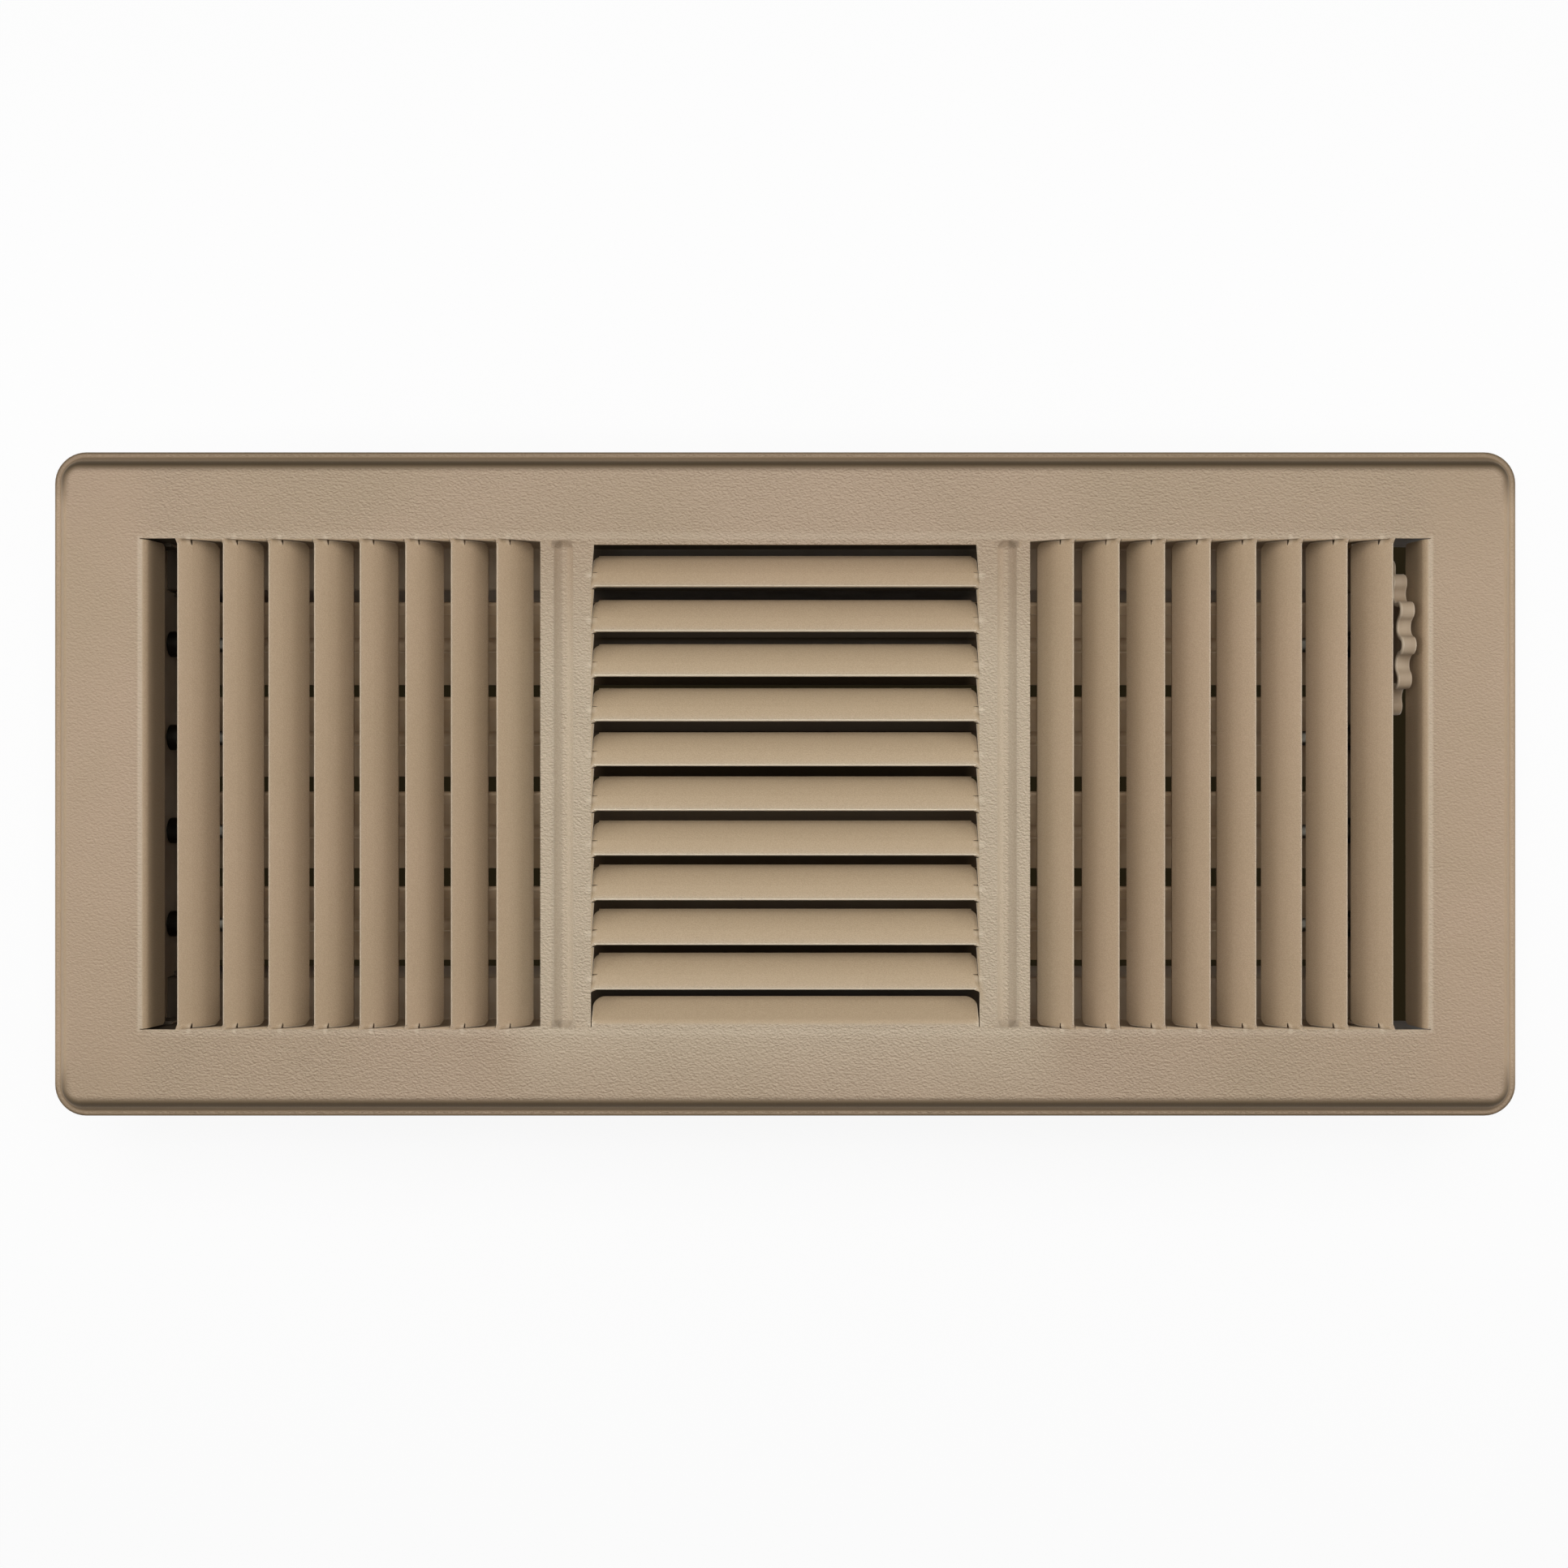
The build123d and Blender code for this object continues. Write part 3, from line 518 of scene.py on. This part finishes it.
def white_floor(studio):
    """Pale floor that the camera sees as white, with a soft shadow, and below the box a duct mouth open to
    rising light and painted dark as shade for the camera.
    """
    material, start = new_material("white_floor")
    place = start.node("TexCoord", output="Object")
    x, y = place.axis("X"), place.axis("Y")
    seen = start.ray("Camera")

    # Pale ground, and the dark mouth of the duct that only the camera sees: painted shade, from a dark ground
    # and a faint dark glow
    away = beyond_corner(abs(x) - (FACE_HIGH.x - studio.duct_margin), abs(y) - studio.duct_reach)
    outside = away.rise(0.0, studio.duct_fade)
    shaded = seen * (1.0 - outside)
    speckle = place.noise(SPECKLE_SIZE, 2.0, 0.5)
    pale = (speckle * 0.2).tint((studio.floor_grey,) * 3, (studio.floor_grey * 0.94,) * 3)
    ground_colour = shaded.tint(seen.tint(pale, WHITE), linear(*DUCT_SHADE_GROUND))
    ground = start.node(
        "BsdfPrincipled",
        sockets={"Base Color": ground_colour, "Roughness": 1.0, "Specular IOR Level": 0.0},
    )
    shade_glow = start.node("Emission", sockets={"Color": (*linear(*DUCT_SHADE_GLOW), 1.0), "Strength": 1.0})

    # White for the camera and for reflections, which keeps a share of the shadow near the register
    white = start.node("Emission", sockets={"Color": (*WHITE, 1.0), "Strength": 1.0})
    shadow = away.rise(*SHADOW_REACH) * studio.shadow_share
    white_share = (seen * (1.0 - shadow) + start.ray("Glossy") + start.ray("Transmission")) * outside
    lit = start.node("MixShader", sockets={0: white_share, 1: ground, 2: white})
    lit = start.node("MixShader", sockets={0: shaded * 0.8, 1: lit, 2: shade_glow})

    # Clear from below, and open at the duct mouth to the light that rises into the box
    behind = start.node("NewGeometry", output="Backfacing")
    in_box = x.rise(*DUCT_LIGHT_START) * (x < DUCT_HIGH.x) * (abs(y) < DUCT_HIGH.y)
    rising = start.ray("Diffuse") + start.ray("Shadow")
    open_share = (behind + in_box * rising).least(1.0)
    clear = start.node("BsdfTransparent")
    surface = start.node("MixShader", sockets={0: open_share, 1: lit, 2: clear})
    start.node("OutputMaterial", sockets={"Surface": surface})
    return material


def flag_cut_strips(shape, layer):
    """Marks the strips between hard edges that are no wider than a sheet is thick."""
    waiting = set(shape.faces)
    while waiting:
        patch = [waiting.pop()]
        rim = 0.0
        for face in patch:
            for edge in face.edges:
                if edge.calc_face_angle(0) > HARD_ANGLE:
                    rim += edge.calc_length()
                    continue
                joined = waiting.intersection(edge.link_faces)
                waiting -= joined
                patch.extend(joined)
        if 2 * sum(face.calc_area() for face in patch) < rim * STRIP_WIDTH:
            for face in patch:
                face[layer] = 1.0


def has_room(edge, edge_round):
    """Whether the faces beside an edge are wide enough for its rounding."""
    widths = [
        face.calc_area() / max(side.calc_length() for side in face.edges)
        for face in edge.link_faces
    ]
    return min(widths) > 2 * edge_round


def is_level(edge):
    """Whether an edge lies beside the flat of a level sheet."""
    return any(abs(face.normal.z) > LEVEL_SHARE for face in edge.link_faces)


def finished_copy(node, material, edge_round, pierced=False):
    """A merged copy of a node with rounded edges, which stands for that node.

    A pierced sheet keeps the facets of its flat, and only the long edges of its vanes are rounded.
    """
    shape = bmesh.new()
    shape.from_mesh(NODES[node].data)
    layer = shape.faces.layers.float.new(EDGE_ATTRIBUTE)
    bmesh.ops.remove_doubles(shape, verts=shape.verts[:], dist=SAME_POINT)
    flag_cut_strips(shape, layer)
    soft = [edge for edge in shape.edges if not (pierced and is_level(edge))]
    bmesh.ops.dissolve_limit(shape, angle_limit=FLAT_ANGLE, verts=shape.verts[:], edges=soft)
    hard = [edge for edge in shape.edges if edge.calc_face_angle(0) > HARD_ANGLE]
    if pierced:
        hard = [
            edge for edge in hard
            if edge.calc_length() > LONG_EDGE and has_room(edge, edge_round) and not is_level(edge)
        ]
    rounded = bmesh.ops.bevel(
        shape, geom=hard, offset=edge_round, offset_type="OFFSET", segments=2, profile=0.5, affect="EDGES",
        clamp_overlap=False, material=-1,
    )
    for face in rounded["faces"]:
        face[layer] = 1.0
    for face in shape.faces:
        face.smooth = True
    mesh = bpy.data.meshes.new(node + "_finish")
    shape.to_mesh(mesh)
    shape.free()
    mesh.set_sharp_from_angle(angle=CREASE_ANGLE)
    mesh.materials.append(material)
    piece = bpy.data.objects.new(node + "_finish", mesh)
    bpy.context.scene.collection.objects.link(piece)
    flat = piece.modifiers.new("flat_faces", "WEIGHTED_NORMAL")
    flat.keep_sharp = True
    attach(piece, NODE_BODY[node])
    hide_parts(node)


class REGISTER_OT_faceplate(bpy.types.Operator):
    """Rounds the sheared edges of the stamped face and paints it"""

    bl_idname = "floor_register.faceplate"
    bl_label = "Faceplate"

    def execute(self, context):
        finish = context.scene.register_finish
        finished_copy("faceplate", face_paint(finish), finish.edge_round, pierced=True)
        return {"FINISHED"}


class REGISTER_OT_damper_box(bpy.types.Operator):
    """Finishes the folded walls of the damper box"""

    bl_idname = "floor_register.damper_box"
    bl_label = "Damper box"

    def execute(self, context):
        finish = context.scene.register_finish
        paint = smooth_paint(finish, "box_paint", finish.box_colour, 0.5, 0.5, shaded_inside=True)
        for node in nodes_of("box_paint"):
            finished_copy(node, paint, finish.edge_round)
        return {"FINISHED"}


class REGISTER_OT_damper_blades(bpy.types.Operator):
    """Finishes the hemmed damper blades"""

    bl_idname = "floor_register.damper_blades"
    bl_label = "Damper blades"

    def execute(self, context):
        finish = context.scene.register_finish
        paint = smooth_paint(finish, "blade_paint", finish.blade_colour, 0.4, 0.5, shaded_inside=True)
        for node in nodes_of("blade_paint"):
            finished_copy(node, paint, finish.edge_round)
        return {"FINISHED"}


class REGISTER_OT_thumbwheel(bpy.types.Operator):
    """Finishes the lobed thumbwheel"""

    bl_idname = "floor_register.thumbwheel"
    bl_label = "Thumbwheel"

    def execute(self, context):
        finish = context.scene.register_finish
        paint = smooth_paint(finish, "wheel_paint", finish.wheel_colour, 0.5, 0.42, shaded_inside=False)
        finished_copy("thumbwheel", paint, 2 * finish.edge_round)
        return {"FINISHED"}


class REGISTER_OT_linkage(bpy.types.Operator):
    """Plates the pins, cranks, rivets, tie bar, washer and nut, which keep their own meshes"""

    bl_idname = "floor_register.linkage"
    bl_label = "Linkage"

    def execute(self, context):
        zinc = zinc_plate(context.scene.register_finish)
        for node in nodes_of("zinc_steel"):
            NODES[node].material_slots[0].material = zinc
        return {"FINISHED"}


def softbox(name, place, target, width, depth, power):
    """A rectangular lamp at a place, turned to a target."""
    lamp = bpy.data.lights.new(name, "AREA")
    lamp.shape = "RECTANGLE"
    lamp.size = width
    lamp.size_y = depth
    lamp.energy = power
    stand = bpy.data.objects.new(name, lamp)
    stand.location = place
    stand.rotation_mode = "QUATERNION"
    stand.rotation_quaternion = (Vector(target) - Vector(place)).to_track_quat("-Z", "Y")
    bpy.context.scene.collection.objects.link(stand)


def studio_sky(studio):
    """World that is white to the eye and in reflections, and gives little light, more of it from below."""
    world = bpy.data.worlds.new("studio_sky")
    world.use_nodes = True
    world.node_tree.nodes.clear()
    sky = Wire(world.node_tree)
    rays = sky.ray("Camera") + sky.ray("Glossy") + sky.ray("Transmission")
    white_share = rays.least(1.0)
    below = sky.node("TexCoord", output="Generated").axis("Z") < 0.0
    even = studio.sky_strength + (studio.duct_light - studio.sky_strength) * below
    strength = even + (1.0 - even) * white_share
    light = sky.node("Background", sockets={"Color": (*WHITE, 1.0), "Strength": strength})
    sky.node("OutputWorld", sockets={"Surface": light})
    return world


class REGISTER_OT_studio(bpy.types.Operator):
    """Sets the floor, the lamps and the camera over the face"""

    bl_idname = "floor_register.studio"
    bl_label = "Studio"

    def execute(self, context):
        studio = context.scene.register_studio
        scene = context.scene
        scene.view_settings.view_transform = "Standard"

        ground = bmesh.new()
        bmesh.ops.create_grid(ground, x_segments=1, y_segments=1, size=studio.floor_size)
        mesh = bpy.data.meshes.new("floor")
        ground.to_mesh(mesh)
        ground.free()
        mesh.materials.append(white_floor(studio))
        floor = bpy.data.objects.new("floor", mesh)
        scene.collection.objects.link(floor)

        face = Vector((0.0, 0.0, FACE_HIGH.z))
        softbox("key_lamp", face + Vector((0.0, 0.0, 0.66)), face, 0.5, 0.4, studio.key_power)
        softbox("far_lamp", face + Vector((0.0, 0.3, 0.6)), face, 0.5, 0.3, studio.far_power)
        for side in (-1, 1):
            end = Vector((side * FACE_HIGH.x, 0.0, FACE_HIGH.z))
            softbox("side_lamp", face + Vector((side * 0.55, 0.0, 0.4)), face, 0.3, 0.3, studio.side_power)
            softbox("rim_lamp", end + Vector((side * 0.16, 0.0, 0.1)), end, 0.2, 0.1, studio.rim_power)
        scene.world = studio_sky(studio)

        lens = bpy.data.cameras.new("camera")
        lens.sensor_width = 36.0
        lens.lens = lens.sensor_width * studio.camera_height / studio.frame_width
        lens.clip_start = 0.01
        camera = bpy.data.objects.new("camera", lens)
        camera.location = face + Vector((-studio.camera_offset, 0.0, studio.camera_height))
        scene.collection.objects.link(camera)
        scene.camera = camera
        return {"FINISHED"}


STEPS = (
    REGISTER_OT_faceplate,
    REGISTER_OT_damper_box,
    REGISTER_OT_damper_blades,
    REGISTER_OT_thumbwheel,
    REGISTER_OT_linkage,
    REGISTER_OT_studio,
)


class REGISTER_PT_panel(bpy.types.Panel):
    """Lists the steps and settings of the register"""

    bl_idname = "REGISTER_PT_panel"
    bl_label = "Floor register"
    bl_space_type = "VIEW_3D"
    bl_region_type = "UI"
    bl_category = "Register"

    def draw(self, context):
        for step in STEPS:
            self.layout.operator(step.bl_idname)
        for settings in (context.scene.register_finish, context.scene.register_studio):
            column = self.layout.column()
            for name in settings.__annotations__:
                column.prop(settings, name)


CLASSES = (RegisterFinish, RegisterStudio, *STEPS, REGISTER_PT_panel)


def register():
    for cls in CLASSES:
        bpy.utils.register_class(cls)
    bpy.types.Scene.register_finish = PointerProperty(type=RegisterFinish)
    bpy.types.Scene.register_studio = PointerProperty(type=RegisterStudio)


def unregister():
    del bpy.types.Scene.register_studio
    del bpy.types.Scene.register_finish
    for cls in reversed(CLASSES):
        bpy.utils.unregister_class(cls)


def main():
    register()
    bpy.ops.floor_register.faceplate()
    bpy.ops.floor_register.damper_box()
    bpy.ops.floor_register.damper_blades()
    bpy.ops.floor_register.thumbwheel()
    bpy.ops.floor_register.linkage()
    bpy.ops.floor_register.studio()


if __name__ == "__main__":
    main()
